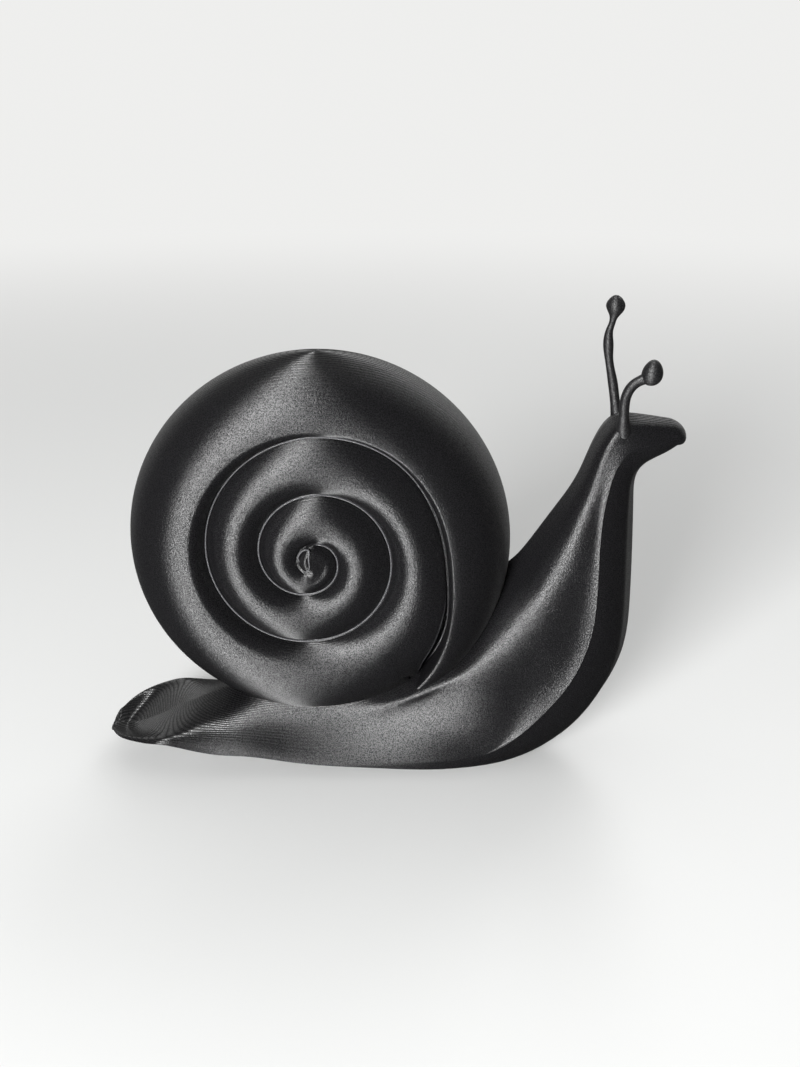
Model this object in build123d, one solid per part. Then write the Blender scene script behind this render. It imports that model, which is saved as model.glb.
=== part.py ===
from build123d import *
import math
import os

# Snail figurine, in millimetres. +X is towards the head, +Y is the snail's left, +Z is up.
# The four pieces are a body, a coiled shell that sits in a saddle on the body's back, and two
# eye stalks with tenons in the head. Nothing on it moves.

# Body
body_length = 109.8        # tail tip to snout, the length that the shares along X are taken of
back_height = 60.0         # the height that the shares along Z are taken of
foot_half_width = 14.2     # widest half of the foot

# Shell: a tube that winds outwards about an axis along Y
shell_radius = 36.0        # axis to the outermost point of the tube at the top of the last whorl
shell_half_width = 13.5    # mid-plane to the crest of the whorls
shell_place_share = -0.144     # axis along the body, of its length
saddle_height_share = 0.167    # lowest point of the shell above the ground, of the back height
seam_relief = 3.2          # depth of the seam between whorls below their crests
core_radius = 3.0          # dome in the middle of the coil
core_drop = 0.9            # top of the dome below the crests

# Fits between the pieces
seat_clearance = 0.2       # shell to saddle
peg_clearance = 0.15       # pegs and tenons to their sockets, all round
peg_diameter = 5.0         # the shell's two pegs
peg_depth = 3.0            # pegs below the lowest point of the shell
peg_root = 8.0             # pegs up into the shell
peg_spacing = 14.0

# Eye stalks: path points are shares of the stalk height above the root, radii of stalk_radius
stalk_height = 24.5        # root to the knob of the taller stalk
stalk_radius = 0.85
stalk_place_share = 0.370          # roots along the body, of its length
stalk_root_height_share = 1.058    # roots above the ground, of the back height
stalk_spread_share = 0.211         # roots from the mid-plane, of the foot's half width
tenon_radius = 1.0
tenon_depth = 3.5
left_knob_radius = 1.75
left_knob_half_height = 2.35
right_knob_radius = 1.9
right_knob_half_height = 2.25

# Seam radius of the coil by turns from the top of the last whorl, as shares of the shell radius
seam_shares = (
    (-2.8, 0.030),
    (-2.5, 0.042),
    (-2.25, 0.058),
    (-2.0, 0.072),
    (-1.75, 0.112),
    (-1.5, 0.185),
    (-1.25, 0.268),
    (-1.0, 0.325),
    (-0.75, 0.386),
    (-0.5, 0.458),
    (-0.25, 0.537),
    (0.0, 0.622),
    (0.25, 0.717),
    (0.45, 0.850),
)
# The last whorl by turns: outer radius and crest radius as shares of the shell radius, and half
# width as a share of the shell's. It narrows where it runs into the body.
last_whorl_shares = (
    (-0.60, 0.938, 0.567, 1.00),
    (-0.50, 0.950, 0.575, 1.00),
    (-0.25, 0.975, 0.625, 1.00),
    (0.00, 1.000, 0.683, 1.00),
    (0.10, 1.010, 0.706, 1.00),
    (0.20, 1.017, 0.736, 1.00),
    (0.30, 1.022, 0.786, 0.98),
    (0.41, 1.006, 0.861, 0.85),
)
crest_place_share = 0.435      # crest of the inner whorls between their two seams
shoulder_reach_share = 1.25    # inner shoulder's reach against the distance from crest to seam
shoulder_drop_share = 1.6      # inner shoulder's height against the seam relief
whorl_turn_shares = (-2.8, -2.1, -1.5, -0.9, -0.3, 0.41)   # ends of the lofted stretches
whorl_steps = 8

# Body stations from the tail to the snout. The sole point and the back point on the mid-plane
# are X as shares of the body length and Z of the back height. Then, as a half width in shares of
# the foot's half width and a place between sole and back: the crease between underside and
# flank, and the flank's hollow beside it, swell and shoulder. Last is the point that the
# underside passes through on its way out to the crease, as shares of the crease's place.
body_shares = (
    ((-0.500, 0.027), (-0.500, 0.075), (0.415, 1.293),
     (0.387, 1.466), (0.289, 1.328), (0.141, 1.121), (0.62, 0.45)),
    ((-0.472, 0.010), (-0.472, 0.080), (0.725, 1.262),
     (0.683, 1.429), (0.514, 1.286), (0.261, 1.095), (0.64, 0.47)),
    ((-0.445, 0.005), (-0.445, 0.098), (0.873, 1.071),
     (0.824, 1.223), (0.634, 1.179), (0.310, 1.080), (0.70, 0.52)),
    ((-0.415, -0.003), (-0.415, 0.123), (0.972, 0.895),
     (0.915, 1.026), (0.704, 1.039), (0.338, 1.026), (0.76, 0.50)),
    ((-0.384, -0.010), (-0.384, 0.152), (1.014, 0.711),
     (0.958, 0.845), (0.732, 0.918), (0.352, 0.969), (0.82, 0.42)),
    ((-0.331, -0.012), (-0.331, 0.200), (1.035, 0.488),
     (0.972, 0.622), (0.746, 0.756), (0.373, 0.882), (0.85, 0.34)),
    ((-0.267, -0.012), (-0.267, 0.237), (1.035, 0.380),
     (0.958, 0.510), (0.746, 0.670), (0.423, 0.840), (0.83, 0.39)),
    ((-0.190, -0.012), (-0.190, 0.262), (1.021, 0.270),
     (0.965, 0.390), (0.803, 0.580), (0.535, 0.780), (0.84, 0.31)),
    ((-0.050, -0.012), (-0.050, 0.300), (1.004, 0.200),
     (0.972, 0.330), (0.894, 0.560), (0.704, 0.780), (0.85, 0.24)),
    ((0.075, -0.012), (0.020, 0.360), (0.993, 0.180),
     (0.968, 0.320), (0.944, 0.600), (0.817, 0.800), (0.85, 0.24)),
    ((0.205, -0.006), (0.078, 0.440), (0.965, 0.240),
     (0.937, 0.320), (0.958, 0.640), (0.803, 0.840), (0.84, 0.26)),
    ((0.304, 0.050), (0.125, 0.548), (0.894, 0.305),
     (0.859, 0.375), (0.901, 0.670), (0.718, 0.870), (0.83, 0.32)),
    ((0.366, 0.188), (0.166, 0.625), (0.803, 0.325),
     (0.771, 0.390), (0.810, 0.670), (0.627, 0.880), (0.82, 0.36)),
    ((0.397, 0.350), (0.196, 0.668), (0.711, 0.354),
     (0.683, 0.430), (0.711, 0.670), (0.535, 0.880), (0.82, 0.36)),
    ((0.405, 0.533), (0.224, 0.730), (0.620, 0.388),
     (0.595, 0.470), (0.613, 0.660), (0.451, 0.880), (0.82, 0.36)),
    ((0.403, 0.717), (0.263, 0.835), (0.514, 0.470),
     (0.496, 0.540), (0.493, 0.660), (0.359, 0.880), (0.82, 0.36)),
    ((0.400, 0.867), (0.303, 0.955), (0.415, 0.540),
     (0.405, 0.600), (0.380, 0.700), (0.289, 0.890), (0.82, 0.36)),
    ((0.404, 0.955), (0.330, 1.070), (0.380, 0.500),
     (0.373, 0.580), (0.359, 0.720), (0.282, 0.910), (0.82, 0.36)),
    ((0.420, 0.988), (0.356, 1.130), (0.365, 0.450),
     (0.363, 0.560), (0.352, 0.740), (0.282, 0.920), (0.82, 0.36)),
    ((0.444, 1.000), (0.398, 1.138), (0.330, 0.420),
     (0.324, 0.540), (0.303, 0.740), (0.218, 0.920), (0.82, 0.36)),
    ((0.466, 1.018), (0.446, 1.112), (0.250, 0.420),
     (0.246, 0.540), (0.225, 0.740), (0.148, 0.920), (0.82, 0.36)),
)
# How far along the flank each of its points lies, the same in all sections
flank_run_shares = (0, 0.13, 0.36, 0.70, 1)
tail_tip_shares = (-0.5218, 0.083)
snout_tip_shares = (0.4795, 1.064)

# Stalk stations above the root: shares of the stalk height along X, sideways and up, and the
# radius there as a share of the stalk radius
left_stalk_shares = (
    (0.019, 0.000, 0.000, 1.53),
    (0.015, 0.024, 0.069, 1.71),
    (0.007, 0.045, 0.127, 1.59),
    (-0.010, 0.057, 0.208, 1.20),
    (-0.044, 0.057, 0.400, 1.06),
    (-0.082, 0.057, 0.580, 0.92),
    (-0.094, 0.057, 0.698, 1.12),
    (-0.090, 0.057, 0.800, 0.80),
    (-0.071, 0.057, 0.873, 0.73),
    (-0.056, 0.057, 0.965, 0.94),
)
right_stalk_shares = (
    (0.019, 0.000, 0.000, 1.53),
    (0.011, 0.024, 0.061, 1.76),
    (-0.006, 0.045, 0.114, 1.65),
    (-0.022, 0.059, 0.167, 1.24),
    (-0.020, 0.063, 0.249, 1.00),
    (0.011, 0.067, 0.331, 0.94),
    (0.070, 0.071, 0.404, 0.89),
    (0.137, 0.076, 0.465, 0.94),
    (0.178, 0.076, 0.540, 1.00),
)

quarter_turn = 90              # in degrees, for the arcs of a section
half_turn = 2 * quarter_turn


def between(table, turn, column=1):
    """Value of a table column at a turn, straight between its rows."""
    for low, high in zip(table, table[1:]):
        if turn <= high[0]:
            break
    part = (turn - low[0]) / (high[0] - low[0])
    return low[column] + part * (high[column] - low[column])


def whorl_sizes(turn):
    """Seam radius, crest radius, outer radius and half width of the tube at a turn."""
    seam = between(seam_shares, turn) * shell_radius
    if turn >= last_whorl_shares[0][0]:
        outer, crest = (between(last_whorl_shares, turn, i) * shell_radius for i in (1, 2))
        return seam, crest, outer, between(last_whorl_shares, turn, 3) * shell_half_width
    next_seam = between(seam_shares, turn + 1) * shell_radius
    crest = seam + (next_seam - seam) * crest_place_share
    level = 1 - seam_relief / shell_half_width
    outer = crest + (next_seam - crest) / math.sqrt(1 - level**2)
    return seam, crest, outer, shell_half_width


def whorl_section(turn, grow):
    """Section of the tube: an inner wall, two rounded shoulders and one wide outer arc."""
    seam, crest, outer, half = whorl_sizes(turn)
    half = half + grow
    reach = (crest - seam) * shoulder_reach_share + grow
    drop = seam_relief * shoulder_drop_share
    angle = turn * 2 * math.pi
    radial = Vector(math.sin(angle), 0, math.cos(angle))
    along = Vector(math.cos(angle), 0, -math.sin(angle))
    plane = Plane(origin=radial * crest, x_dir=radial, z_dir=along)
    left = EllipticalCenterArc((0, half - drop), reach, drop, quarter_turn, arc_size=quarter_turn)
    wall = Line((-reach, half - drop), (-reach, drop - half))
    right = EllipticalCenterArc((0, drop - half), reach, drop, half_turn, arc_size=quarter_turn)
    rim = EllipticalCenterArc((0, 0), outer + grow - crest, half, -quarter_turn, arc_size=half_turn)
    return plane * make_face(Wire([left, wall, right, rim]))


def stretch(first, last, grow):
    """Part of the tube between two turns."""
    turns = [first + (last - first) * i / whorl_steps for i in range(whorl_steps + 1)]
    return loft([whorl_section(turn, grow) for turn in turns])


def shell_axis():
    """Middle of the coil: over its place along the body, with its lowest point in the saddle."""
    lowest = saddle_height_share * back_height
    return Vector(shell_place_share * body_length, 0, lowest + whorl_sizes(-0.5)[2])


def coil(grow=0.0):
    """The whole tube, from the last whorl inwards, and the dome that it starts from."""
    ends = list(zip(whorl_turn_shares, whorl_turn_shares[1:]))
    solid = None
    for first, last in reversed(ends):
        part = stretch(first, last, grow)
        solid = part if solid is None else solid + part
    dome_radius = core_radius + grow
    dome_height = shell_half_width - core_drop + grow
    solid = solid + scale(Sphere(dome_radius), by=(1, dome_height / dome_radius, 1))
    return Location(shell_axis()) * solid


def pegs(grow=0.0):
    """The shell's two locating pegs, or with some growth their sockets."""
    bottom = saddle_height_share * back_height - peg_depth - grow
    height = peg_root + peg_depth + grow
    upwards = (Align.CENTER, Align.CENTER, Align.MIN)
    peg = Cylinder(peg_diameter / 2 + grow, height, align=upwards)
    middle = shell_axis().X
    return [Location((middle + side * peg_spacing / 2, 0, bottom)) * peg for side in (-1, 1)]


def backwards(run_shares):
    """The same steps along a line, counted from its other end."""
    return [1 - share for share in reversed(run_shares)]


def body_section(row):
    """Section of the body: a rounded sole edge and two flanks that meet at the back."""
    (sole_x, sole_z), (back_x, back_z), crease, hollow, swell, shoulder, under = row
    sole = Vector(sole_x * body_length, 0, sole_z * back_height)
    back = Vector(back_x * body_length, 0, back_z * back_height)
    up = (back - sole).normalized()
    height = (back - sole).length
    plane = Plane(origin=sole, x_dir=(0, 1, 0), z_dir=Vector(0, 1, 0).cross(up))
    flank = [(foot_half_width * x, height * y) for x, y in (crease, hollow, swell, shoulder)]
    flank.append((0, height))
    mirrored = [(-x, y) for x, y in reversed(flank)]
    rim_x, rim_y = flank[0]
    tuck_x, tuck_y = rim_x * under[0], rim_y * under[1]
    outwards, upwards = (1, 0), (rim_x - tuck_x, rim_y - tuck_y)
    downwards = (upwards[0], -upwards[1])
    sole_points = [(0, 0), (tuck_x, tuck_y), flank[0]]
    mirrored_sole = [mirrored[-1], (-tuck_x, tuck_y), (0, 0)]
    curve = Edge.make_spline
    lines = [
        curve(sole_points, tangents=[outwards, upwards]),
        curve(flank, parameters=flank_run_shares),
        curve(mirrored, parameters=backwards(flank_run_shares)),
        curve(mirrored_sole, tangents=[downwards, outwards]),
    ]
    return plane * make_face(Wire(lines))


def body_form():
    """Foot, tail, neck and head as one loft from the tail tip to the snout, flat underneath."""
    ends = [
        Vertex(x * body_length, 0, z * back_height)
        for x, z in (tail_tip_shares, snout_tip_shares)
    ]
    form = loft([ends[0]] + [body_section(row) for row in body_shares] + [ends[1]])
    upwards = (Align.CENTER, Align.CENTER, Align.MIN)
    return form & Box(2 * body_length, 2 * body_length, 2 * back_height, align=upwards)


def stalk(table, side, knob_radius, knob_half_height, grow=0.0):
    """An eye stalk: tenon, flared root, bent stem and an egg-shaped knob."""
    root = Vector(
        stalk_place_share * body_length,
        side * stalk_spread_share * foot_half_width,
        stalk_root_height_share * back_height,
    )
    points = [root + Vector(x, side * y, z) * stalk_height for x, y, z, _ in table]
    rings = []
    for i, point in enumerate(points):
        before = points[max(i - 1, 0)]
        after = points[min(i + 1, len(points) - 1)]
        plane = Plane(origin=point, x_dir=(0, 1, 0), z_dir=after - before)
        rings.append(plane * Circle(stalk_radius * table[i][3] + grow))
    solid = loft(rings)
    downwards = (Align.CENTER, Align.CENTER, Align.MAX)
    tenon = Cylinder(tenon_radius + grow, tenon_depth + grow, align=downwards)
    solid = solid + Location(points[0]) * tenon
    egg = scale(Sphere(knob_radius), by=(1, 1, knob_half_height / knob_radius))
    return solid + Location(points[-1]) * egg


stalks = {
    "left_eye_stalk": (left_stalk_shares, 1, left_knob_radius, left_knob_half_height),
    "right_eye_stalk": (right_stalk_shares, -1, right_knob_radius, right_knob_half_height),
}
parts = {"shell": coil() + pegs()}
body = body_form() - coil(seat_clearance)
for socket in pegs(peg_clearance):
    body = body - socket
for name, sizes in stalks.items():
    parts[name] = stalk(*sizes)
    body = body - stalk(*sizes, grow=peg_clearance)
parts["body"] = body

# The origin goes to the ground under the middle of the whole figurine.
whole = Compound(list(parts.values())).bounding_box()
centring = Location((-whole.center().X, -whole.center().Y, -whole.min.Z))
print("moved by", centring.position)

os.makedirs("parts", exist_ok=True)
for name, part in parts.items():
    placed = centring * part
    print(name, placed.is_valid, round(placed.volume, 1), len(placed.solids()))
    export_step(placed, "parts/" + name + ".step")
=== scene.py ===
import math

import bmesh
import bpy
import numpy as np
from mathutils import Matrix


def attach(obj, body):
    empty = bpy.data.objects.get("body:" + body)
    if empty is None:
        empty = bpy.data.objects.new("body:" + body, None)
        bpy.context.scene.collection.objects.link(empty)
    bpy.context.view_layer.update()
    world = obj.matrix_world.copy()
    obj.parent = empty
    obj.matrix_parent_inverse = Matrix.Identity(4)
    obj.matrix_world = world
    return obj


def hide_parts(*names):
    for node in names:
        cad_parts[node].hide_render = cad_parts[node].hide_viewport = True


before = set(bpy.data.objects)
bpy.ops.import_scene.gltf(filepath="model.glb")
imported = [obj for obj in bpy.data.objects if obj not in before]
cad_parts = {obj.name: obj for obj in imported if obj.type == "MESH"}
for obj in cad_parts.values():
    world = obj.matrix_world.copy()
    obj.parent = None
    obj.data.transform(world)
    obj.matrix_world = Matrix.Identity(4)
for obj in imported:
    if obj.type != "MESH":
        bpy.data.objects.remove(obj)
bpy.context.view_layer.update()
print("frame loaded, nodes:", ", ".join(sorted(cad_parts)))

mm = 0.001                      # the snail's sizes are in millimetres, the studio's in metres
wholeTurn = 2 * math.pi
tiny = 1e-6                     # keeps divisions and comparisons safe
domeShares = (0.98, 0.92, 0.82, 0.68, 0.5, 0.3, 0.12)      # a dome's rings, of its border's width


def smoothThrough(knots, values, at):
    # natural cubic spline: on each span a cubic whose second derivative runs straight from
    # knot to knot and is zero at both ends; columns of values are done together
    knots = np.asarray(knots, float)
    values = np.asarray(values, float).reshape(len(knots), -1)
    at = np.asarray(at, float)
    step = np.diff(knots)
    slope = np.diff(values, axis=0) / step[:, None]
    inner = np.arange(1, len(knots) - 1)
    system = np.eye(len(knots))
    system[inner, inner - 1] = step[:-1]
    system[inner, inner] = 2 * (step[:-1] + step[1:])
    system[inner, inner + 1] = step[1:]
    right = np.zeros_like(values)
    right[1:-1] = 6 * np.diff(slope, axis=0)
    bend = np.linalg.solve(system, right)
    span = np.clip(np.searchsorted(knots, at) - 1, 0, len(knots) - 2)
    along, width = (at - knots[span])[:, None], step[span][:, None]
    cubic = (bend[span + 1] - bend[span]) / (6 * width)
    linear = slope[span] - width * (2 * bend[span] + bend[span + 1]) / 6
    return ((cubic * along + bend[span] / 2) * along + linear) * along + values[span]


def ease(x, low, high):
    # 0 before low, 1 after high, and 3u^2 - 2u^3 between them
    u = np.clip((x - low) / (high - low), 0, 1)
    return u * u * (3 - 2 * u)


def distanceAlong(points):
    # from the first point to each point, the sum of the straight steps between them
    return np.concatenate([[0], np.cumsum(np.linalg.norm(np.diff(points, axis=0), axis=1))])


def ringGrid(rings, around, start=0):
    # vertex numbers of rings that follow each other; each ring ends on its first number again
    index = np.arange(rings * around).reshape(rings, around) + start
    return np.concatenate([index, index[:, :1]], axis=1)


def gridFaces(index, flip=False):
    # one quad for each cell of a grid of vertex numbers
    a, b, c, d = index[:-1, :-1], index[1:, :-1], index[1:, 1:], index[:-1, 1:]
    quads = np.stack([a, d, c, b] if flip else [a, b, c, d], axis=-1)
    return quads.reshape(-1, 4).tolist()


def fanFaces(ring, apex, flip=False):
    # one triangle from each side of a ring to the vertex apex
    first, second = (ring[1:], ring[:-1]) if flip else (ring[:-1], ring[1:])
    return np.stack([first, second, np.full(len(first), apex)], axis=1).tolist()


def domeRings(border, middle, tip):
    # rounds an end off like an egg: for each share s the ring
    # middle + s (border - middle) + sqrt(1 - s^2) (tip - middle)
    share = np.array(domeShares)[:, None, None]
    return middle + (border - middle) * share + (tip - middle) * np.sqrt(1 - share ** 2)


def makePiece(name, points, faces, material, edge=None, merge=0.0005):
    # points in millimetres; doubles along seams and at poles are merged, and faces turned
    # outwards; edge is how strongly each point is painted with the highlight colour, from 0 to 1
    mesh = bpy.data.meshes.new(name)
    mesh.from_pydata((np.asarray(points) * mm).tolist(), [], faces)
    highlightPaint = mesh.attributes.new("edge", "FLOAT", "POINT")
    if edge is not None:
        highlightPaint.data.foreach_set("value", np.asarray(edge, np.float32))
    work = bmesh.new()
    work.from_mesh(mesh)
    bmesh.ops.remove_doubles(work, verts=work.verts, dist=merge * mm)
    bmesh.ops.dissolve_degenerate(work, edges=work.edges, dist=merge * mm)
    bmesh.ops.triangulate(work, faces=[f for f in work.faces if len(f.verts) > 4])
    bmesh.ops.recalc_face_normals(work, faces=work.faces)
    openEdges = sum(1 for e in work.edges if not e.is_manifold)
    work.to_mesh(mesh)
    work.free()
    mesh.polygons.foreach_set("use_smooth", np.ones(len(mesh.polygons), bool))
    mesh.materials.append(material)
    piece = bpy.data.objects.new(name, mesh)
    bpy.context.scene.collection.objects.link(piece)
    print("made", name, len(mesh.polygons), "faces,", openEdges, "open edges")
    return piece


# finish: black printed plastic, laid down in thin level layers
finish = dict(
    colour=(0.0042, 0.0041, 0.0045, 1),
    tintSpread=0.2,             # share by which speckles are darker or lighter
    # a lighter colour painted on as highlight: on the lip's ridge, on a line at the aperture and on the
    # hook
    paintedHighlightColour=(0.045, 0.045, 0.048, 1),
    layerHeight=0.2,
    layerStart=0.26,            # share of a layer by which the first one is shifted
    layerWander=0.35,           # share of a layer by which they wander up and down
    wanderScale=140.0,
    layerRelief=0.038,          # how far each layer bulges on an upright wall
    terraceRelief=0.20,         # height of the steps where the surface lies nearly level
    terracePower=3.0,           # how quickly they fade as the surface tilts
    riserShare=0.40,            # part of a step that its rounded riser takes
    streakRelief=0.016,         # long faint ridges from one layer to the next
    streakScale=(120, 120, 2600),
    grainSize=0.24,
    grainRelief=0.055,
    speckleSize=0.35,
    speckleRange=(0.3, 0.7),    # the part of the noise that is used
    roughness=0.45,
    roughnessSpread=0.05,
    anisotropic=1.0,
    sparkleSize=0.20,
    sparkleRange=(0.35, 0.65),
    gloss=(0.20, 0.86),         # specular level of dull and of bright grains
    grooveShade=1.75,           # how much of the gloss the grooves between terraces lose
    treadShine=0.90,            # and how much the terraces gain
)


def addNode(tree, kind, x, y, **settings):
    # a new node; each setting goes to the property of that name, or else to the input
    node = tree.nodes.new(kind)
    node.location = (x, y)
    for key, value in settings.items():
        if hasattr(node, key):
            setattr(node, key, value)
        else:
            node.inputs[key].default_value = value
    return node


def feed(tree, socket, value):
    # links another node's output to the socket, or writes a plain number or colour there
    if isinstance(value, bpy.types.NodeSocket):
        tree.links.new(value, socket)
    else:
        socket.default_value = value


def mathNode(tree, operation, first, second=None, x=0, y=0):
    # the operation on one or two values
    node = addNode(tree, "ShaderNodeMath", x, y, operation=operation)
    feed(tree, node.inputs[0], first)
    if second is not None:
        feed(tree, node.inputs[1], second)
    return node.outputs[0]


def noiseNode(tree, place, x, y, scale, detail):
    # noise between 0 and 1 over the given places
    node = addNode(tree, "ShaderNodeTexNoise", x, y, Scale=scale, Detail=detail)
    tree.links.new(place, node.inputs["Vector"])
    return node.outputs[0]


def rangeNode(tree, value, x, y, source, target=(0, 1), kind="LINEAR"):
    # the value goes through source while the result goes through target, and stays within it
    node = addNode(tree, "ShaderNodeMapRange", x, y, interpolation_type=kind)
    node.inputs["From Min"].default_value, node.inputs["From Max"].default_value = source
    node.inputs["To Min"].default_value, node.inputs["To Max"].default_value = target
    tree.links.new(value, node.inputs[0])
    return node.outputs[0]


def colourMix(tree, share, first, second, x, y):
    # first where share is 0 and second where it is 1
    node = addNode(tree, "ShaderNodeMix", x, y, data_type="RGBA")
    for slotNumber, value in zip((0, 6, 7), (share, first, second)):
        feed(tree, node.inputs[slotNumber], value)
    return node.outputs[2]


def shaderMix(tree, share, first, second, x, y):
    # first where share is 0 and second where it is 1
    node = addNode(tree, "ShaderNodeMixShader", x, y)
    for slotNumber, value in enumerate((share, first, second)):
        tree.links.new(value, node.inputs[slotNumber])
    return node.outputs[0]


def layerCount(tree, place, look):
    # the height above the ground divided by a layer's, plus a slow noise and the start
    split = addNode(tree, "ShaderNodeSeparateXYZ", -1200, 0)
    tree.links.new(place, split.inputs[0])
    wander = noiseNode(tree, place, -1200, 250, look["wanderScale"], detail=1.0)
    wander = mathNode(tree, "MULTIPLY", wander, look["layerWander"], -1000, 250)
    layers = mathNode(tree, "MULTIPLY", split.outputs[2], 1 / (look["layerHeight"] * mm), -1000, 50)
    layers = mathNode(tree, "ADD", layers, wander, -850, 50)
    return mathNode(tree, "ADD", layers, look["layerStart"], -780, 50)


def reliefHeight(tree, place, layers, level, terrace, look):
    # the sum of a sine of the layers on upright walls, a sawtooth with rounded risers on
    # nearly level ones, which shows as contour rings, streaks and grain
    phase = mathNode(tree, "MULTIPLY", layers, wholeTurn, -700, 100)
    wave = mathNode(tree, "SINE", phase, None, -550, 100)
    wave = mathNode(tree, "MULTIPLY", wave, look["layerRelief"] * mm / 2, -400, 100)
    upright = mathNode(tree, "SUBTRACT", 1.0, level, -850, -500)
    wave = mathNode(tree, "MULTIPLY", wave, upright, -250, 100)
    saw = mathNode(tree, "FRACT", layers, None, -550, -100)
    riser = rangeNode(tree, saw, -480, -250, (1 - look["riserShare"], 1), kind="SMOOTHSTEP")
    saw = mathNode(tree, "SUBTRACT", riser, saw, -380, -150)
    saw = mathNode(tree, "MULTIPLY", saw, terrace, -300, -100)
    saw = mathNode(tree, "MULTIPLY", saw, look["terraceRelief"] * mm, -200, -100)
    height = mathNode(tree, "ADD", wave, saw, -100, 0)

    stretched = addNode(tree, "ShaderNodeMapping", -1200, 1000, vector_type="POINT")
    stretched.inputs["Scale"].default_value = look["streakScale"]
    tree.links.new(place, stretched.inputs["Vector"])
    streak = noiseNode(tree, stretched.outputs[0], -1000, 1000, 1.0, detail=2.0)
    streak = mathNode(tree, "MULTIPLY", streak, look["streakRelief"] * mm, -700, 1000)
    height = mathNode(tree, "ADD", height, streak, -50, 200)
    grain = noiseNode(tree, place, -700, 400, 1 / (look["grainSize"] * mm), detail=2.0)
    grain = mathNode(tree, "MULTIPLY", grain, look["grainRelief"] * mm, -400, 400)
    return mathNode(tree, "ADD", height, grain, 50, 100)


def acrossLayers(tree, normal):
    # the normal crossed with (upright crossed with the normal), made one long
    along = addNode(tree, "ShaderNodeVectorMath", -1000, -650, operation="CROSS_PRODUCT")
    along.inputs[0].default_value = (0, 0, 1)
    tree.links.new(normal, along.inputs[1])
    across = addNode(tree, "ShaderNodeVectorMath", -800, -650, operation="CROSS_PRODUCT")
    tree.links.new(normal, across.inputs[0])
    tree.links.new(along.outputs[0], across.inputs[1])
    unit = addNode(tree, "ShaderNodeVectorMath", -600, -650, operation="NORMALIZE")
    tree.links.new(across.outputs[0], unit.inputs[0])
    return unit.outputs[0]


def sparklingGloss(tree, place, layers, terrace, look):
    # bright and dull grains, times 1 - terrace (shade g^2 - shine), where g goes from 0 in the
    # middle of a terrace to 1 in the groove beside it
    sparkle = noiseNode(tree, place, -700, 1300, 1 / (look["sparkleSize"] * mm), detail=1.0)
    gloss = rangeNode(tree, sparkle, -400, 1300, look["sparkleRange"], look["gloss"])
    halfLayer = 0.5
    groove = mathNode(tree, "PINGPONG", layers, halfLayer, -400, 1550)
    groove = mathNode(tree, "POWER", groove, 2.0, -250, 1550)
    groove = mathNode(tree, "MULTIPLY", groove, look["grooveShade"] / halfLayer ** 2, -100, 1550)
    groove = mathNode(tree, "SUBTRACT", groove, look["treadShine"], 0, 1650)
    groove = mathNode(tree, "MULTIPLY", groove, terrace, 50, 1550)
    groove = mathNode(tree, "SUBTRACT", 1.0, groove, 200, 1550)
    return mathNode(tree, "MULTIPLY", gloss, groove, 350, 1400)


def printedPlastic(name, look):
    # level is how nearly level the surface lies, the upright part of its normal, and terrace a
    # power of it; gloss is drawn out across the layers
    material = bpy.data.materials.new(name)
    material.use_nodes = True
    tree = material.node_tree
    tree.nodes.clear()
    link = tree.links.new
    output = addNode(tree, "ShaderNodeOutputMaterial", 900, 0)
    shader = addNode(tree, "ShaderNodeBsdfPrincipled", 600, 0)
    link(shader.outputs[0], output.inputs[0])
    place = addNode(tree, "ShaderNodeTexCoord", -1400, 0).outputs["Object"]
    normal = addNode(tree, "ShaderNodeNewGeometry", -1400, -400).outputs["Normal"]
    facing = addNode(tree, "ShaderNodeSeparateXYZ", -1200, -400)
    link(normal, facing.inputs[0])
    level = mathNode(tree, "ABSOLUTE", facing.outputs[2], None, -1000, -400)
    terrace = mathNode(tree, "POWER", level, look["terracePower"], -700, -400)
    layers = layerCount(tree, place, look)

    bump = addNode(tree, "ShaderNodeBump", 300, -200, Strength=1.0, Distance=1.0)
    link(reliefHeight(tree, place, layers, level, terrace, look), bump.inputs["Height"])
    link(bump.outputs[0], shader.inputs["Normal"])
    link(acrossLayers(tree, normal), shader.inputs["Tangent"])
    shader.inputs["Anisotropic"].default_value = look["anisotropic"]
    link(sparklingGloss(tree, place, layers, terrace, look), shader.inputs["Specular IOR Level"])

    speckle = noiseNode(tree, place, -700, 700, 1 / (look["speckleSize"] * mm), detail=3.0)
    smoother, rougher = (look["roughness"] + sign * look["roughnessSpread"] for sign in (-1, 1))
    rough = rangeNode(tree, speckle, -400, 700, look["speckleRange"], (smoother, rougher))
    link(rough, shader.inputs["Roughness"])
    darker, lighter = (
        tuple((1 + sign * look["tintSpread"]) * part for part in look["colour"][:3]) + (1,)
        for sign in (-1, 1))
    tint = colourMix(tree, speckle, darker, lighter, -100, 700)
    # painted highlight: the lighter colour is mixed in as far as each point's edge share says
    highlightPaint = addNode(tree, "ShaderNodeAttribute", -400, 950, attribute_name="edge")
    tint = colourMix(tree, highlightPaint.outputs["Fac"], tint, look["paintedHighlightColour"], 150, 700)
    link(tint, shader.inputs["Base Color"])
    return material


stalkFinish = dict(finish, roughness=0.55, anisotropic=0.55)     # thin stalks come out less even
blackPlastic = printedPlastic("printedBlackPlastic", finish)
stalkPlastic = printedPlastic("printedStalkPlastic", stalkFinish)
print("plastic mixed")

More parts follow.
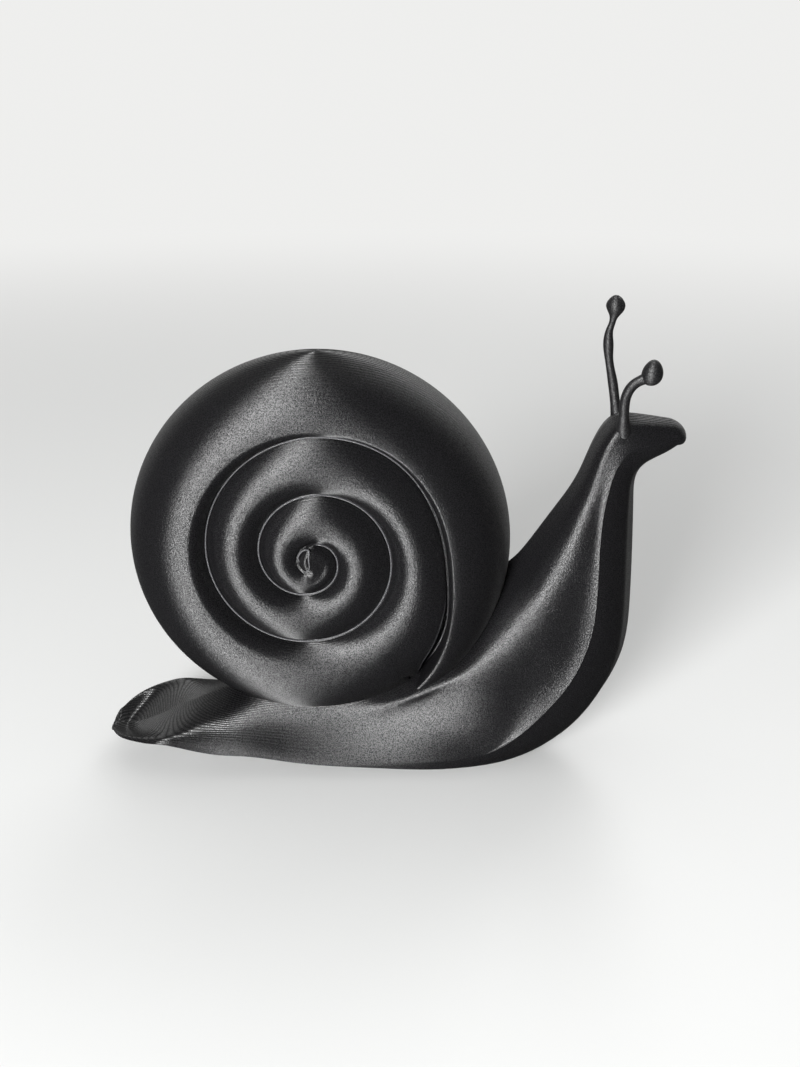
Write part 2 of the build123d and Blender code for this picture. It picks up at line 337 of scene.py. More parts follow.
# shell: a tube wound about an axis along Y. A turn is counted from the top, clockwise seen from
# the snail's right
shell = dict(
    axisX=-13.46,
    axisZ=44.2,
    halfWidth=13.5,
    columnsPerTurn=180,
    firstColumn=-684,           # the tube starts with no width, on the axis
    lastColumn=73,              # and ends inside the body
    coilStart=-2.95,            # the turn at which the seam leaves the axis
    # turn, radius of the seam on the tube's inner side, and the seam's depth
    seam=[(-3.8, 0.0, 0.0), (-2.95, 0.0, 0.0), (-2.8, 0.5, 0.0), (-2.6, 1.6, 0.0),
          (-2.48, 2.1, 0.10), (-2.4, 2.4, 0.7), (-2.25, 2.62, 1.2), (-2.1, 2.65, 1.4),
          (-1.95, 2.87, 1.55), (-1.75, 4.0, 2.0), (-1.5, 6.66, 2.6), (-1.25, 9.65, 2.9),
          (-1.0, 11.7, 3.1), (-0.75, 13.9, 3.2), (-0.5, 16.5, 3.2), (-0.25, 19.3, 3.2),
          (0.0, 22.4, 3.2), (0.125, 23.4, 3.0), (0.25, 24.0, 2.3), (0.29, 25.3, 2.4),
          (0.33, 27.7, 2.9), (0.37, 30.0, 4.3), (0.41, 32.5, 7.4), (0.45, 34.3, 10.0)],
    # turn, crest and outer radius, and half width of the last whorl
    last=[(-0.62, 20.4, 33.6, 13.5), (-0.5, 20.7, 34.2, 13.5), (-0.25, 22.5, 35.1, 13.5),
          (-0.12, 23.6, 35.6, 13.5), (0.0, 24.6, 36.0, 13.5), (0.1, 25.0, 36.35, 13.5),
          (0.2, 25.0, 36.6, 13.45), (0.25, 25.35, 36.7, 13.4), (0.3, 26.95, 36.8, 13.3),
          (0.36, 30.3, 36.7, 12.6), (0.41, 33.4, 36.4, 9.6)],
    lastBlend=(0.35, 0.25),     # turns before and after its start in which these sizes set in
    crestPlace=0.435,           # crest of the inner whorls between their seams
    innerReach=1.08,            # how steep the inner shoulder is at the seam
    outerReach=1.55,            # how steep the outer slope is there
    # the thin raised lip that runs along the seam: its rows, counted in radii from the seam, the
    # turns in which it sets in and flattens out, and the shoulder's width from which it is full
    lipRadius=0.21,
    lipRise=0.30,
    lipRows=(0.0, 0.12, 0.35, 0.68, 1.0, 1.32, 1.65, 1.88, 2.0),
    lipStart=(-2.0, -1.9),
    lipEnd=(0.08, 0.20),
    lipWidth=2.0,
    lipShine=1.25,              # how broad its painted highlight line is, in radii
    # turn, width and depth of the gap between the lip and the whorl inside it
    gap=[(-3.8, 0.06, 0.08), (-0.5, 0.06, 0.10), (0.0, 0.08, 0.12), (0.18, 0.10, 0.15),
         (0.26, 0.12, 0.2), (0.30, 0.30, 0.8), (0.33, 1.0, 1.6), (0.37, 1.25, 2.2),
         (0.41, 1.8, 2.4)],
    gapRows=(0.9, 0.1),         # the places of the gap's floor, as shares of its width
    gapLimit=0.3,               # the most that it takes of the whorl inside it
    seamFade=0.6,               # lip and gap grow in while the seam gets this deep
    joinFade=0.03,              # turns before the last whorl in which the gap closes
    # a thin raised line on the gap's other side, painted with the highlight colour: the turns in which it
    # sets in, and its rise
    rimLine=(0.28, 0.33),
    rimLineRise=0.06,
    shoulderRows=21,
    shoulderCrowding=1.35,
    slopeRows=20,
    slopeCrowding=(0.7, 0.3),   # parts of sine and of even spacing
    rimRows=60,
    # the coil's start shows as a thin raised hook: its places (x, z, how far out)
    hook=[(-15.60, 43.50, 12.6), (-15.80, 44.10, 12.6), (-16.10, 44.90, 12.6),
          (-15.90, 45.50, 12.7), (-15.40, 46.20, 12.8), (-14.70, 46.60, 13.0),
          (-14.20, 46.60, 13.35), (-14.10, 45.50, 13.4), (-14.10, 44.30, 13.4),
          (-14.10, 43.10, 13.35), (-14.60, 42.40, 13.2), (-15.30, 42.60, 13.0)],
    hookRadius=0.18,
    hookBlunt=0.02,             # how far its ends stop short of a point, as an angle
    hookRings=90,
    hookAround=12,
    # the centre of the coil falls away to one side: from where, how steeply, and between which
    # radii that fades
    leanStart=1.2,
    centreLean=0.22,
    leanFade=(2.2, 5.2),
)


def columnTurns(spec):
    # a column's turn is its number divided by the columns in one turn
    return np.arange(spec["firstColumn"], spec["lastColumn"] + 1) / spec["columnsPerTurn"]


def shoulder(x, reach):
    # quarter ellipse from 0 at the crest to 1 at the seam, cut where its reach is over 1
    fall = 1 - np.sqrt(np.clip(1 - (x / reach) ** 2, 0, 1))
    return fall / (1 - math.sqrt(1 - 1 / reach ** 2))


def seamLine(spec, turns):
    # radius and depth of the seam: splines of the turn, never below 0, and 0 on the axis
    rows = np.array(spec["seam"])
    sizes = smoothThrough(rows[:, 0], rows[:, 1:], np.minimum(turns, rows[-1, 0]))
    return np.where(turns[:, None] < spec["coilStart"], 0, np.maximum(sizes, 0))


def gapLine(spec, turns):
    # width and depth of the gap, straight from one row of its list to the next
    rows = np.array(spec["gap"])
    return np.stack([np.interp(turns, rows[:, 0], rows[:, i]) for i in (1, 2)], axis=1)


def seamToCrest(spec, turns, inner, crest):
    # rows of radius, depth and shine: the gap's floor below the seam, the lip, which rises by
    # sqrt(1 - u^2) where u is 0 on its ridge, and the shoulder, an ellipse up to the crest
    width = np.maximum(crest - inner[:, 0], tiny)[:, None]
    fit = np.minimum(1, width / spec["lipWidth"])           # the lip shrinks where the tube is thin
    lipAt = np.array(spec["lipRows"])
    lip = lipAt * spec["lipRadius"] * fit
    wallAt = np.linspace(0, 1, spec["shoulderRows"] + 1)[1:] ** spec["shoulderCrowding"]
    wall = lip[:, -1:] + wallAt * (width - lip[:, -1:])
    grown = ease(inner[:, 1:], 0.0, spec["seamFade"])
    raised = grown * (ease(turns, *spec["lipStart"]) - ease(turns, *spec["lipEnd"]))[:, None]
    lipDepth = inner[:, 1:] - spec["lipRise"] * raised * fit * np.sqrt(1 - (lipAt - 1) ** 2)
    wallDepth = inner[:, 1:] * shoulder(1 - wallAt, spec["innerReach"])
    gap = gapLine(spec, turns)
    gapPlace = -np.array(spec["gapRows"]) * gap[:, :1] * fit * grown
    gapFloor = np.repeat(inner[:, 1:] + gap[:, 1:] * grown, len(spec["gapRows"]), axis=1)
    radius = inner[:, :1] + np.concatenate([gapPlace, lip, wall], axis=1)
    depth = np.concatenate([gapFloor, lipDepth, wallDepth], axis=1)
    # shine is the share of painted highlight, strongest on the lip's ridge
    ridge = np.clip(spec["lipShine"] - np.abs(lipAt - 1), 0, 1)
    shine = np.concatenate([np.zeros(len(spec["gapRows"])), ridge, np.zeros(len(wallAt))])
    return radius, depth, shine * raised


def crestToSeam(spec, turns, outer, crest, rim, half, isLast):
    # rows of radius, depth and shine: an ellipse from the crest to the outer seam, or on the
    # last whorl to the place where the rim takes over; the gap beyond it narrows the slope
    reach = spec["outerReach"]
    width = (rim - crest) / reach
    lastStart = turns[isLast][0]
    before = 1 - ease(turns, lastStart - spec["joinFade"], lastStart)
    gap = gapLine(spec, turns + 1)[:, 0] * before * ease(outer[:, 1], 0, spec["seamFade"])
    narrowed = width - np.minimum(gap, spec["gapLimit"] * width)
    even = np.linspace(0, 1, spec["slopeRows"] + 1)[1:]
    sineShare, evenShare = spec["slopeCrowding"]
    slopeAt = np.sin(even * math.pi / 2) * sineShare + even * evenShare
    radius = crest[:, None] + slopeAt * narrowed[:, None]
    ellipseAt = slopeAt * (narrowed / np.maximum(width, tiny))[:, None]
    rimDepth = half * (1 - math.sqrt(1 - 1 / reach ** 2))
    depth = np.where(isLast, rimDepth, outer[:, 1])[:, None] * shoulder(ellipseAt, reach)
    # the last row stands a little proud and is painted with the highlight colour
    line = ease(turns + 1, *spec["rimLine"]) * before
    depth[:, -1] -= spec["rimLineRise"] * line
    shine = np.zeros_like(radius)
    shine[:, -1] = line
    return radius, depth, shine


def shellSurface(spec):
    # a point at turn t and radius r lies at axis + r (sin 2 pi t, cos 2 pi t), and as far out
    # sideways as the half width less its depth: an elliptic shoulder from the inner seam up to
    # the crest, an elliptic slope from there to the outer seam, and on the last whorl an
    # ellipse on over the rim
    turns = columnTurns(spec)
    inner, outer = seamLine(spec, turns), seamLine(spec, turns + 1)
    lastStart = spec["lastColumn"] / spec["columnsPerTurn"] - 1
    isLast = turns >= lastStart - tiny
    rows = np.array(spec["last"])
    sizes = smoothThrough(rows[:, 0], rows[:, 1:], np.clip(turns, rows[0, 0], rows[-1, 0]))
    before, after = spec["lastBlend"]
    blend = ease(turns, lastStart - before, lastStart + after)
    half = spec["halfWidth"] + (sizes[:, 2] - spec["halfWidth"]) * blend
    crest = inner[:, 0] + spec["crestPlace"] * (outer[:, 0] - inner[:, 0])
    crest = crest + (sizes[:, 0] - crest) * blend
    rim = np.where(isLast, sizes[:, 1], crest + (outer[:, 0] - crest) * spec["outerReach"])

    sharedRow = (inner[:, :1], inner[:, 1:], np.zeros((len(turns), 1)))
    upRows = seamToCrest(spec, turns, inner, crest)
    downRows = crestToSeam(spec, turns, outer, crest, rim, half, isLast)
    radius, depth, shine = (
        np.concatenate(parts, axis=1) for parts in zip(sharedRow, upRows, downRows))
    # the shared row is the end of the whorl one turn further in, or in the first turn the seam;
    # its depth counts from this turn's half width, so the two part where the last whorl narrows
    turnBack = spec["columnsPerTurn"]
    for grid in (radius, depth, shine):
        grid[turnBack:, 0] = grid[:-turnBack, -1]
    right = radius * np.sin(wholeTurn * turns[:, None]) + spec["leanStart"]
    lean = spec["centreLean"] * np.clip(right, 0, None) * (1 - ease(radius, *spec["leanFade"]))
    side = half[:, None] - (depth + lean)

    # rim rows of the last whorl, from the near slope over the edge to the far slope
    seamAngle = math.asin(1 / spec["outerReach"])
    over = np.linspace(seamAngle, math.pi - seamAngle, spec["rimRows"] + 2)[1:-1]
    rimRadius = crest[:, None] + (rim - crest)[:, None] * np.sin(over)
    rimSide = half[:, None] * np.cos(over)
    return turns, isLast, radius, side, rimRadius, rimSide, shine


def placeOnShell(spec, turns, radius, side):
    # axis + radius (sin, cos) of the turn's angle, and sideways as given
    angle = wholeTurn * turns[:, None]
    x = spec["axisX"] + radius * np.sin(angle)
    z = spec["axisZ"] + radius * np.cos(angle)
    return np.stack([x, side, z], axis=-1)


def hookCord(spec, sign, start):
    # a thin cord: at each place c of the path its ring is c + r (cos a, 0, 0) across the path
    # and r sin a outwards, with r falling to nothing at both ends
    path = np.array(spec["hook"])
    length = distanceAlong(path[:, :2])
    at = np.linspace(0, length[-1], spec["hookRings"])
    line, out = np.split(smoothThrough(length, path, at), [2], axis=1)
    run = np.gradient(line, at, axis=0)
    across = np.stack([run[:, 1], -run[:, 0]], axis=1) / np.linalg.norm(run, axis=1)[:, None]
    angle = np.linspace(0, wholeTurn, spec["hookAround"], endpoint=False)
    taper = np.linspace(spec["hookBlunt"], math.pi - spec["hookBlunt"], len(at))
    radius = spec["hookRadius"] * np.sqrt(np.sin(taper))[:, None]
    flat = line[:, None] + (radius * np.cos(angle))[..., None] * across[:, None]
    side = sign * (out + radius * np.sin(angle))
    ring = np.stack([flat[..., 0], side, flat[..., 1]], axis=-1)
    index = ringGrid(len(at), len(angle), start)
    faces = gridFaces(index) + [index[0, :-1].tolist(), index[-1, -2::-1].tolist()]
    return ring.reshape(-1, 3), faces


def makeShell(spec, material):
    # the near side's grid, the same grid mirrored, the rim's grid between them on the last
    # whorl, and the hook on either side
    turns, isLast, radius, side, rimRadius, rimSide, shine = shellSurface(spec)
    near = placeOnShell(spec, turns, radius, -side)
    far = placeOnShell(spec, turns, radius, side)
    rim = placeOnShell(spec, turns, rimRadius, -rimSide)[isLast]
    nearIndex = np.arange(radius.size).reshape(radius.shape)
    farIndex = nearIndex + radius.size
    rimCount = rim.shape[0] * rim.shape[1]
    rimIndex = np.arange(rimCount).reshape(rim.shape[:2]) + 2 * radius.size
    rimIndex = np.concatenate([nearIndex[isLast][:, -1:], rimIndex, farIndex[isLast][:, -1:]], axis=1)
    faces = gridFaces(nearIndex) + gridFaces(farIndex, flip=True) + gridFaces(rimIndex)
    # the tube's end is closed by one flat face that lies inside the body
    end = np.concatenate([nearIndex[-1], rimIndex[-1, 1:-1], farIndex[-1, ::-1]])
    faces.append(np.concatenate([end[1:-1], rimIndex[0, ::-1]]).tolist())
    points = np.concatenate([near.reshape(-1, 3), far.reshape(-1, 3), rim.reshape(-1, 3)])
    edge = np.concatenate([shine.ravel(), shine.ravel(), np.zeros(rimCount)])
    # the hook is painted with the highlight colour all over
    for sign in (-1, 1):
        cord, cordFaces = hookCord(spec, sign, start=len(points))
        faces += cordFaces
        points = np.concatenate([points, cord])
        edge = np.concatenate([edge, np.ones(len(cord))])
    return makePiece("shell_form", points, faces, material, edge)


# body: stations from the tail tip to the snout. Each has the sole and the back on the
# mid-plane (x, z), the half width at the crease and its place between sole and back, then the
# hollow beside the crease, the swell of the flank and the shoulder, each as width and place.
# Its last two numbers mix foot with chest, and tail with either
body = dict(
    stations=[
        (-54.1, 2.4, -54.1, 5.05, 4.77, 1.219, 4.28, 1.3, 3.13, 1.2, 1.48, 1.07, 1, 1),
        (-52.6, 1.5, -52.6, 4.85, 7.73, 1.369, 7.21, 1.45, 5.37, 1.32, 2.62, 1.12, 1, 1),
        (-49.5, 0.6, -49.5, 5.2, 11.1, 1.354, 10.45, 1.429, 7.87, 1.286, 3.99, 1.095, 1, 1),
        (-46.5, 0.2, -46.5, 6.3, 12.96, 1.155, 12.23, 1.223, 9.41, 1.175, 4.6, 1.08, 1, 1),
        (-43.2, -0.2, -43.2, 7.8, 14.08, 0.967, 13.27, 1.026, 10.2, 1.035, 4.9, 1.026, 1, 1),
        (-39.82, -0.5, -39.82, 9.4, 14.2, 0.751, 13.4, 0.845, 10.4, 0.918, 5.0, 0.969, 1, 1),
        (-34.0, -0.7, -34.0, 12.0, 14.1, 0.488, 13.3, 0.622, 10.4, 0.756, 5.3, 0.882, 1, 1),
        (-27.0, -0.72, -27.0, 14.2, 14.1, 0.38, 13.3, 0.493, 10.1, 0.67, 5.9, 0.84, 1, 1),
        (-18.52, -0.72, -18.52, 15.72, 14.1, 0.27, 13.5, 0.365, 10.2, 0.58, 7.18, 0.78, 1, 0.9),
        (-3.15, -0.72, -3.15, 18.0, 14.25, 0.2, 13.83, 0.306, 10.38, 0.56, 8.39, 0.78, 1, 0.4),
        (10.58, -0.72, 4.54, 21.6, 14.1, 0.18, 14.46, 0.261, 10.91, 0.6, 10.49, 0.8, 0.75, 0),
        (23.65, -0.26, 10.9, 26.4, 13.7, 0.24, 13.33, 0.278, 11.97, 0.62, 9.1, 0.82, 0.35, 0),
        (34.52, 3.5, 16.07, 32.88, 12.7, 0.305, 11.69, 0.407, 11.17, 0.64, 7.31, 0.84, 0, 0),
        (41.93, 11.68, 20.57, 37.5, 11.4, 0.325, 10.67, 0.405, 10.08, 0.64, 6.61, 0.85, 0, 0),
        (45.93, 21.0, 23.86, 40.08, 10.1, 0.354, 9.51, 0.446, 9.15, 0.65, 6.51, 0.85, 0, 0),
        (46.81, 31.98, 26.94, 43.8, 8.8, 0.388, 8.38, 0.466, 8.13, 0.65, 5.63, 0.86, 0, 0),
        (46.59, 43.02, 31.22, 50.1, 7.3, 0.47, 7.03, 0.527, 6.83, 0.68, 4.64, 0.87, 0, 0),
        (46.26, 52.02, 35.61, 57.3, 5.9, 0.54, 5.63, 0.593, 5.37, 0.7, 3.93, 0.89, 0, 0),
        (46.7, 57.3, 38.57, 64.2, 5.4, 0.5, 5.3, 0.58, 5.1, 0.72, 4.0, 0.91, 0, 0),
        (48.46, 59.28, 41.43, 67.8, 5.18, 0.45, 5.15, 0.56, 5.0, 0.74, 4.0, 0.92, 0, 0),
        (51.2, 60.8, 46.04, 68.35, 4.69, 0.42, 4.6, 0.54, 4.3, 0.74, 3.1, 0.92, 0, 0),
        (53.6, 62.5, 51.6, 67.6, 3.5, 0.42, 3.5, 0.54, 3.2, 0.74, 2.1, 0.92, 0, 0),
    ],
    tailTip=(-54.95, 4.9),
    snoutTip=(54.95, 65.3),
    # the underside from the middle to the crease, as shares of the crease's width and height:
    # flat with a tucked edge under the foot, round on the chest, lifted at the rim of the tail
    footUnder=[(0, 0), (0.45, 0), (0.85, 0.36), (0.97, 0.72), (1, 1)],
    chestUnder=[(0, 0), (0.46, 0.20), (0.82, 0.54), (0.95, 0.80), (1, 1)],
    tailUnder=[(0, 0), (0.38, 0.44), (0.78, 0.82), (0.95, 0.94), (1, 1)],
    soleKnots=(0, 0.42, 0.82, 0.93, 1),     # where its points come on the way to the crease
    flankKnots=(0, 0.13, 0.36, 0.70, 1),    # and the flank's on the way from there to the back
    columns=420,
    soleRows=30,
    flankRows=62,
    flankCrowding=1.25,
)


def bodySection(row, spec):
    # half of a section as (sideways, up) shares: a spline from the sole's middle out to the
    # crease, and another from there over the flank to the back
    (width, place, hollowWidth, hollowPlace, swellWidth, swellPlace,
     shoulderWidth, shoulderPlace, footMix, tailMix) = row[:, 4:].T
    zero, one = np.zeros_like(width), np.ones_like(width)
    foot, chest, tail = (np.array(spec[key]) for key in ("footUnder", "chestUnder", "tailUnder"))
    footMix, tailMix = (np.clip(mix, 0, 1)[:, None, None] for mix in (footMix, tailMix))
    sole = chest + footMix * (foot - chest)
    sole = (sole + tailMix * (tail - sole)) * np.stack([width, place], axis=1)[:, None, :]
    flank = np.stack([
        np.stack([width, hollowWidth, swellWidth, shoulderWidth, zero], axis=1),
        np.stack([place, hollowPlace, swellPlace, shoulderPlace, one], axis=1),
    ], axis=-1)

    def curve(points, knots, at):
        # one natural spline for each station, all of them over the same knots
        values = points.transpose(1, 0, 2).reshape(len(knots), -1)
        return smoothThrough(knots, values, at).reshape(len(at), len(row), 2).transpose(1, 0, 2)

    soleAt = np.sin(np.linspace(0, math.pi / 2, spec["soleRows"]))
    flankAt = np.linspace(0, 1, spec["flankRows"] + 1) ** spec["flankCrowding"]
    lower = curve(sole, spec["soleKnots"], soleAt)
    upper = curve(flank, spec["flankKnots"], flankAt)
    return np.concatenate([lower, upper[:, 1:]], axis=1)


def bodySurface(spec):
    # between stations every size runs along a natural spline of the distance along the body;
    # a point is sole + up * share of the height, moved sideways by the section's width
    stations = np.array(spec["stations"])
    length = distanceAlong((stations[:, 0:2] + stations[:, 2:4]) / 2)
    row = smoothThrough(length, stations, np.linspace(0, length[-1], spec["columns"]))
    section = bodySection(row, spec)
    sole, back = row[:, 0:2], row[:, 2:4]
    flat = sole[:, None, :] + (back - sole)[:, None, :] * section[:, :, 1:2]
    near = np.stack([flat[..., 0], -section[..., 0], flat[..., 1]], axis=-1)
    far = near[:, ::-1] * np.array([1, -1, 1])
    ring = np.concatenate([near, far[:, 1:-1]], axis=1)
    ring[..., 2] = np.maximum(ring[..., 2], 0)
    return ring


def makeBody(spec, material):
    # the rings of the surface, and at each end a dome that runs to its tip; nothing goes below
    # the ground
    ring = bodySurface(spec)
    columns, around = ring.shape[:2]
    index = ringGrid(columns, around)
    faces = gridFaces(index)
    points = ring.reshape(-1, 3)
    for (tipX, tipZ), end, flip in ((spec["tailTip"], 0, False), (spec["snoutTip"], -1, True)):
        tip = np.array([tipX, 0, tipZ])
        dome = domeRings(ring[end], ring[end].mean(axis=0), tip)
        grid = np.concatenate([index[end][None], ringGrid(len(dome), around, len(points))])
        points = np.concatenate([points, dome.reshape(-1, 3)])
        faces += gridFaces(grid, flip) + fanFaces(grid[-1], len(points))
        points = np.concatenate([points, tip[None]])
    points[:, 2] = np.maximum(points[:, 2], 0)
    return makePiece("body_form", points, faces, material)


# eye stalks: path points from the root up (x, y, z) with the radius there
leftStalk = dict(
    path=[(43.5, 3.2, 62.5, 1.4), (43.4, 3.6, 64.3, 1.6), (43.2, 4.1, 65.8, 1.45),
          (42.7, 4.4, 68.4, 1.02), (41.85, 4.4, 73.3, 0.9), (40.93, 4.4, 77.7, 0.78),
          (40.64, 4.4, 80.6, 0.95), (40.74, 4.4, 83.1, 0.68), (41.15, 4.4, 84.5, 0.60),
          (41.26, 4.4, 85.1, 0.66), (41.38, 4.4, 85.75, 0.90), (41.47, 4.4, 86.3, 1.25),
          (41.55, 4.4, 86.9, 1.60), (41.6, 4.4, 87.5, 1.75), (41.62, 4.4, 88.15, 1.62),
          (41.63, 4.4, 88.7, 1.28), (41.63, 4.4, 89.1, 0.90), (41.63, 4.4, 89.35, 0.53)],
    tip=(41.63, 4.4, 89.46),
    around=64,
    rings=260,
)
# the near stem enters its knob from the side, so the knob is an egg of its own
rightStalk = dict(
    path=[(43.4, -2.5, 63.4, 1.2), (43.2, -3.3, 65.1, 1.6), (42.9, -4.0, 66.7, 1.45),
          (42.7, -4.5, 69.1, 0.98), (42.7, -4.55, 70.7, 0.93), (42.8, -4.6, 72.3, 0.92),
          (43.3, -4.65, 73.9, 0.92), (44.1, -4.7, 75.0, 0.92), (45.1, -4.75, 75.7, 0.92),
          (46.1, -4.8, 76.2, 0.95), (47.0, -4.85, 76.8, 0.7)],
    tip=(47.2, -4.85, 77.0),
    around=64,
    rings=200,
    knob=dict(bottom=(47.1, -4.85, 74.9), top=(47.5, -4.85, 79.6), radius=1.9, fuller=0.16, rings=40),
)


def stalkTube(spec):
    # a circle carried along a spline through the path, its radius a spline of the same measure
    path = np.array(spec["path"])
    length = distanceAlong(path[:, :3])
    at = np.linspace(0, length[-1], spec["rings"])
    line, radius = np.split(smoothThrough(length, path, at), [3], axis=1)
    run = np.gradient(line, at, axis=0)
    run = run / np.linalg.norm(run, axis=1)[:, None]
    sideways = np.cross(run, np.array([1.0, 0, 0]))
    sideways = sideways / np.linalg.norm(sideways, axis=1)[:, None]
    other = np.cross(run, sideways)
    angle = np.linspace(0, wholeTurn, spec["around"], endpoint=False)[None, :, None]
    circle = np.cos(angle) * sideways[:, None] + np.sin(angle) * other[:, None]
    return line, line[:, None] + radius[:, None] * circle


def eggRings(spec, around):
    # rings of radius r 2 sqrt(u (1 - u)) (1 + f (1 - 2 u)) about the line from bottom to top
    bottom, top = np.array(spec["bottom"]), np.array(spec["top"])
    u = (1 - np.cos(np.linspace(0, math.pi, spec["rings"] + 2)[1:-1])) / 2
    angle = np.linspace(0, wholeTurn, around, endpoint=False)
    radius = spec["radius"] * 2 * np.sqrt(u * (1 - u)) * (1 + spec["fuller"] * (1 - 2 * u))
    circle = np.stack([np.cos(angle), np.sin(angle), np.zeros(around)], axis=1)
    centre = bottom + (top - bottom) * u[:, None]
    return centre[:, None] + radius[:, None, None] * circle[None]


def makeStalk(name, spec, material):
    # the tube, a dome that runs to its tip, a fan over its buried root, and the egg of the knob
    # where it has one, closed by a fan at both ends
    line, ring = stalkTube(spec)
    columns, around = ring.shape[:2]
    index = ringGrid(columns, around)
    tip = np.array(spec["tip"])
    dome = domeRings(ring[-1], line[-1], tip)
    grid = np.concatenate([index[-1:], ringGrid(len(dome), around, columns * around)])
    points = np.concatenate([ring.reshape(-1, 3), dome.reshape(-1, 3)])
    faces = gridFaces(index) + gridFaces(grid)
    faces += fanFaces(grid[-1], len(points)) + fanFaces(index[0], len(points) + 1, flip=True)
    points = np.concatenate([points, tip[None], line[:1]])
    if "knob" in spec:
        knob = spec["knob"]
        egg = eggRings(knob, around)
        grid = ringGrid(len(egg), around, len(points))
        points = np.concatenate([points, egg.reshape(-1, 3)])
        faces += gridFaces(grid)
        faces += fanFaces(grid[0], len(points), flip=True) + fanFaces(grid[-1], len(points) + 1)
        points = np.concatenate([points, [knob["bottom"], knob["top"]]])
    return makePiece(name, points, faces, material)


pieces = {
    "shell": makeShell(shell, blackPlastic),
    "body": makeBody(body, blackPlastic),
    "left_eye_stalk": makeStalk("left_stalk_form", leftStalk, stalkPlastic),
    "right_eye_stalk": makeStalk("right_stalk_form", rightStalk, stalkPlastic),
}
for node, piece in pieces.items():
    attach(piece, "root")
    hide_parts(node)

# studio: a pale floor, a soft key lamp from the front left, two weak lamps above and behind,
# and soft light all round
studio = dict(
    floorColour=(0.74, 0.745, 0.74, 1),
    mirroredFloor=(0.10, 0.10, 0.10, 1),
    floorRoughness=0.45,
    floorFade=(0.16, 0.85),     # from where to where it fades into the backdrop
    floorSize=6.0,
    floorDrop=0.0001,           # how far it lies below the sole
    skyColour=(0.86, 0.86, 0.85, 1),
    skyLight=0.48,              # on matt surfaces
    frontLight=0.02,            # mirrored from the front
    backLight=0.70,             # mirrored from behind
    backEdge=(0.35, 0.85),      # how far back a direction points where that light sets in
    # lamps: place, width, height, power and aim, in metres and watts
    lamps=dict(
        keyLamp=((-0.36, -0.80, 0.17), 0.30, 0.34, 27.0, (0, 0, 0.03)),
        topLamp=((-0.25, 0.30, 0.90), 0.60, 0.60, 0.3, (0, 0, 0)),
        backLamp=((0.35, 0.80, 0.75), 0.60, 0.60, 3.0, (0, 0, 0.04)),
    ),
)


def makeFloor(spec):
    # a square; in the object's gloss it shows darker, and away from the object the camera sees
    # it fade into the pale backdrop, by 3u^2 - 2u^3 of the distance
    half, low = spec["floorSize"] / 2, -spec["floorDrop"]
    corners = [(-half, -half, low), (half, -half, low), (half, half, low), (-half, half, low)]
    mesh = bpy.data.meshes.new("floor")
    mesh.from_pydata(corners, [], [(0, 1, 2, 3)])
    floor = bpy.data.objects.new("floor", mesh)
    bpy.context.scene.collection.objects.link(floor)
    material = bpy.data.materials.new("paleFloor")
    material.use_nodes = True
    tree = material.node_tree
    bright = tree.nodes["Principled BSDF"]
    bright.inputs["Base Color"].default_value = spec["floorColour"]
    bright.inputs["Roughness"].default_value = spec["floorRoughness"]
    dim = addNode(tree, "ShaderNodeBsdfDiffuse", 0, -400, Color=spec["mirroredFloor"])
    rays = addNode(tree, "ShaderNodeLightPath", 0, 500)
    mirrored = rays.outputs["Is Glossy Ray"]
    surface = shaderMix(tree, mirrored, bright.outputs[0], dim.outputs[0], 400, 0)
    place = addNode(tree, "ShaderNodeTexCoord", 0, 800)
    reach = addNode(tree, "ShaderNodeVectorMath", 200, 800, operation="LENGTH")
    tree.links.new(place.outputs["Object"], reach.inputs[0])
    fade = rangeNode(tree, reach.outputs["Value"], 400, 800, spec["floorFade"], kind="SMOOTHSTEP")
    fade = mathNode(tree, "MULTIPLY", fade, rays.outputs["Is Camera Ray"], 600, 600)
    pale = addNode(tree, "ShaderNodeEmission", 400, -400, Color=spec["skyColour"])
    surface = shaderMix(tree, fade, surface, pale.outputs[0], 800, 0)
    tree.links.new(surface, tree.nodes["Material Output"].inputs[0])
    mesh.materials.append(material)


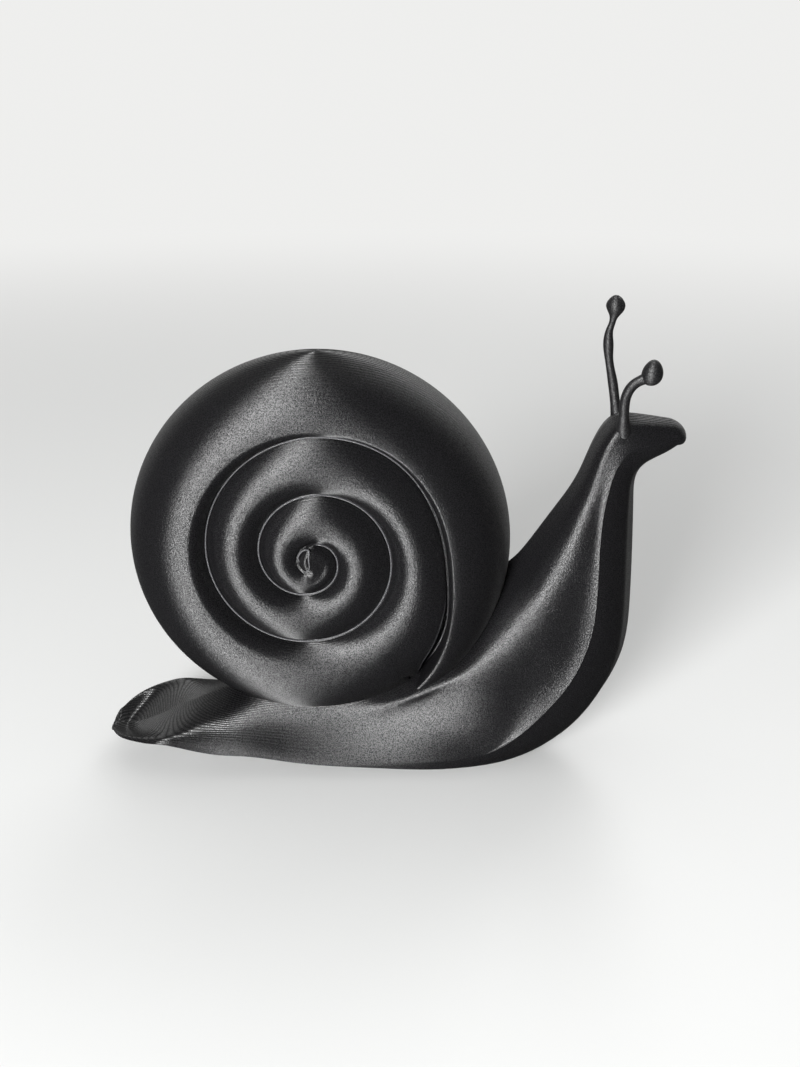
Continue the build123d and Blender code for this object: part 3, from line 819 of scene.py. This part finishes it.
def makeSky(spec):
    # the camera sees a plain pale backdrop, matt surfaces get soft light all round, and gloss
    # mirrors a bright backdrop behind the object and a dim one in front of it
    world = bpy.data.worlds.new("studioSky")
    bpy.context.scene.world = world
    world.use_nodes = True
    tree = world.node_tree
    tree.nodes.clear()

    def background(y, strength):
        # the pale colour at that strength
        node = addNode(tree, "ShaderNodeBackground", -200, y)
        feed(tree, node.inputs[0], spec["skyColour"])
        feed(tree, node.inputs[1], strength)
        return node.outputs[0]

    direction = addNode(tree, "ShaderNodeTexCoord", -800, -200)
    split = addNode(tree, "ShaderNodeSeparateXYZ", -600, -200)
    tree.links.new(direction.outputs["Generated"], split.inputs[0])
    behind = rangeNode(tree, split.outputs[1], -400, -200, spec["backEdge"],
                       (spec["frontLight"], spec["backLight"]), kind="SMOOTHSTEP")
    shown, lit, mirrored = background(200, 1.0), background(0, spec["skyLight"]), background(-200, behind)
    rays = addNode(tree, "ShaderNodeLightPath", -200, 500).outputs
    light = shaderMix(tree, rays["Is Glossy Ray"], lit, mirrored, 100, -100)
    light = shaderMix(tree, rays["Is Camera Ray"], light, shown, 350, 0)
    output = addNode(tree, "ShaderNodeOutputWorld", 600, 0)
    tree.links.new(light, output.inputs[0])


def makeLamp(name, lampSpec):
    # a rectangle of light at its place, turned so that its face points at the aim
    place, width, height, power, aim = lampSpec
    data = bpy.data.lights.new(name, "AREA")
    data.shape, data.size, data.size_y, data.energy = "RECTANGLE", width, height, power
    lamp = bpy.data.objects.new(name, data)
    away = np.array(place) - np.array(aim)
    lean = math.atan2(math.hypot(away[0], away[1]), away[2])
    lamp.location = place
    lamp.rotation_euler = (lean, 0, math.atan2(away[0], -away[1]))
    lamp.visible_camera = False
    bpy.context.scene.collection.objects.link(lamp)


makeFloor(studio)
makeSky(studio)
for name, lampSpec in studio["lamps"].items():
    makeLamp(name, lampSpec)
print("studio set")

# camera: as high and as far as the photograph's, 20 degrees down; its frame is 800 by 1067
# with a focal length of 1300 of those pixels, and the lens is given for the long side
view = dict(place=(0.00234, -0.2321, 0.1295), down=20, focal=1300, longSide=1067, sensor=36)
camera = bpy.data.cameras.new("camera")
camera.sensor_width = view["sensor"]
camera.lens = view["focal"] / view["longSide"] * camera.sensor_width
cameraObject = bpy.data.objects.new("camera", camera)
cameraObject.location = view["place"]
cameraObject.rotation_euler = (math.radians(90 - view["down"]), 0, 0)
bpy.context.scene.collection.objects.link(cameraObject)
bpy.context.scene.camera = cameraObject
bpy.context.scene.view_settings.view_transform = "Standard"
print("camera set")
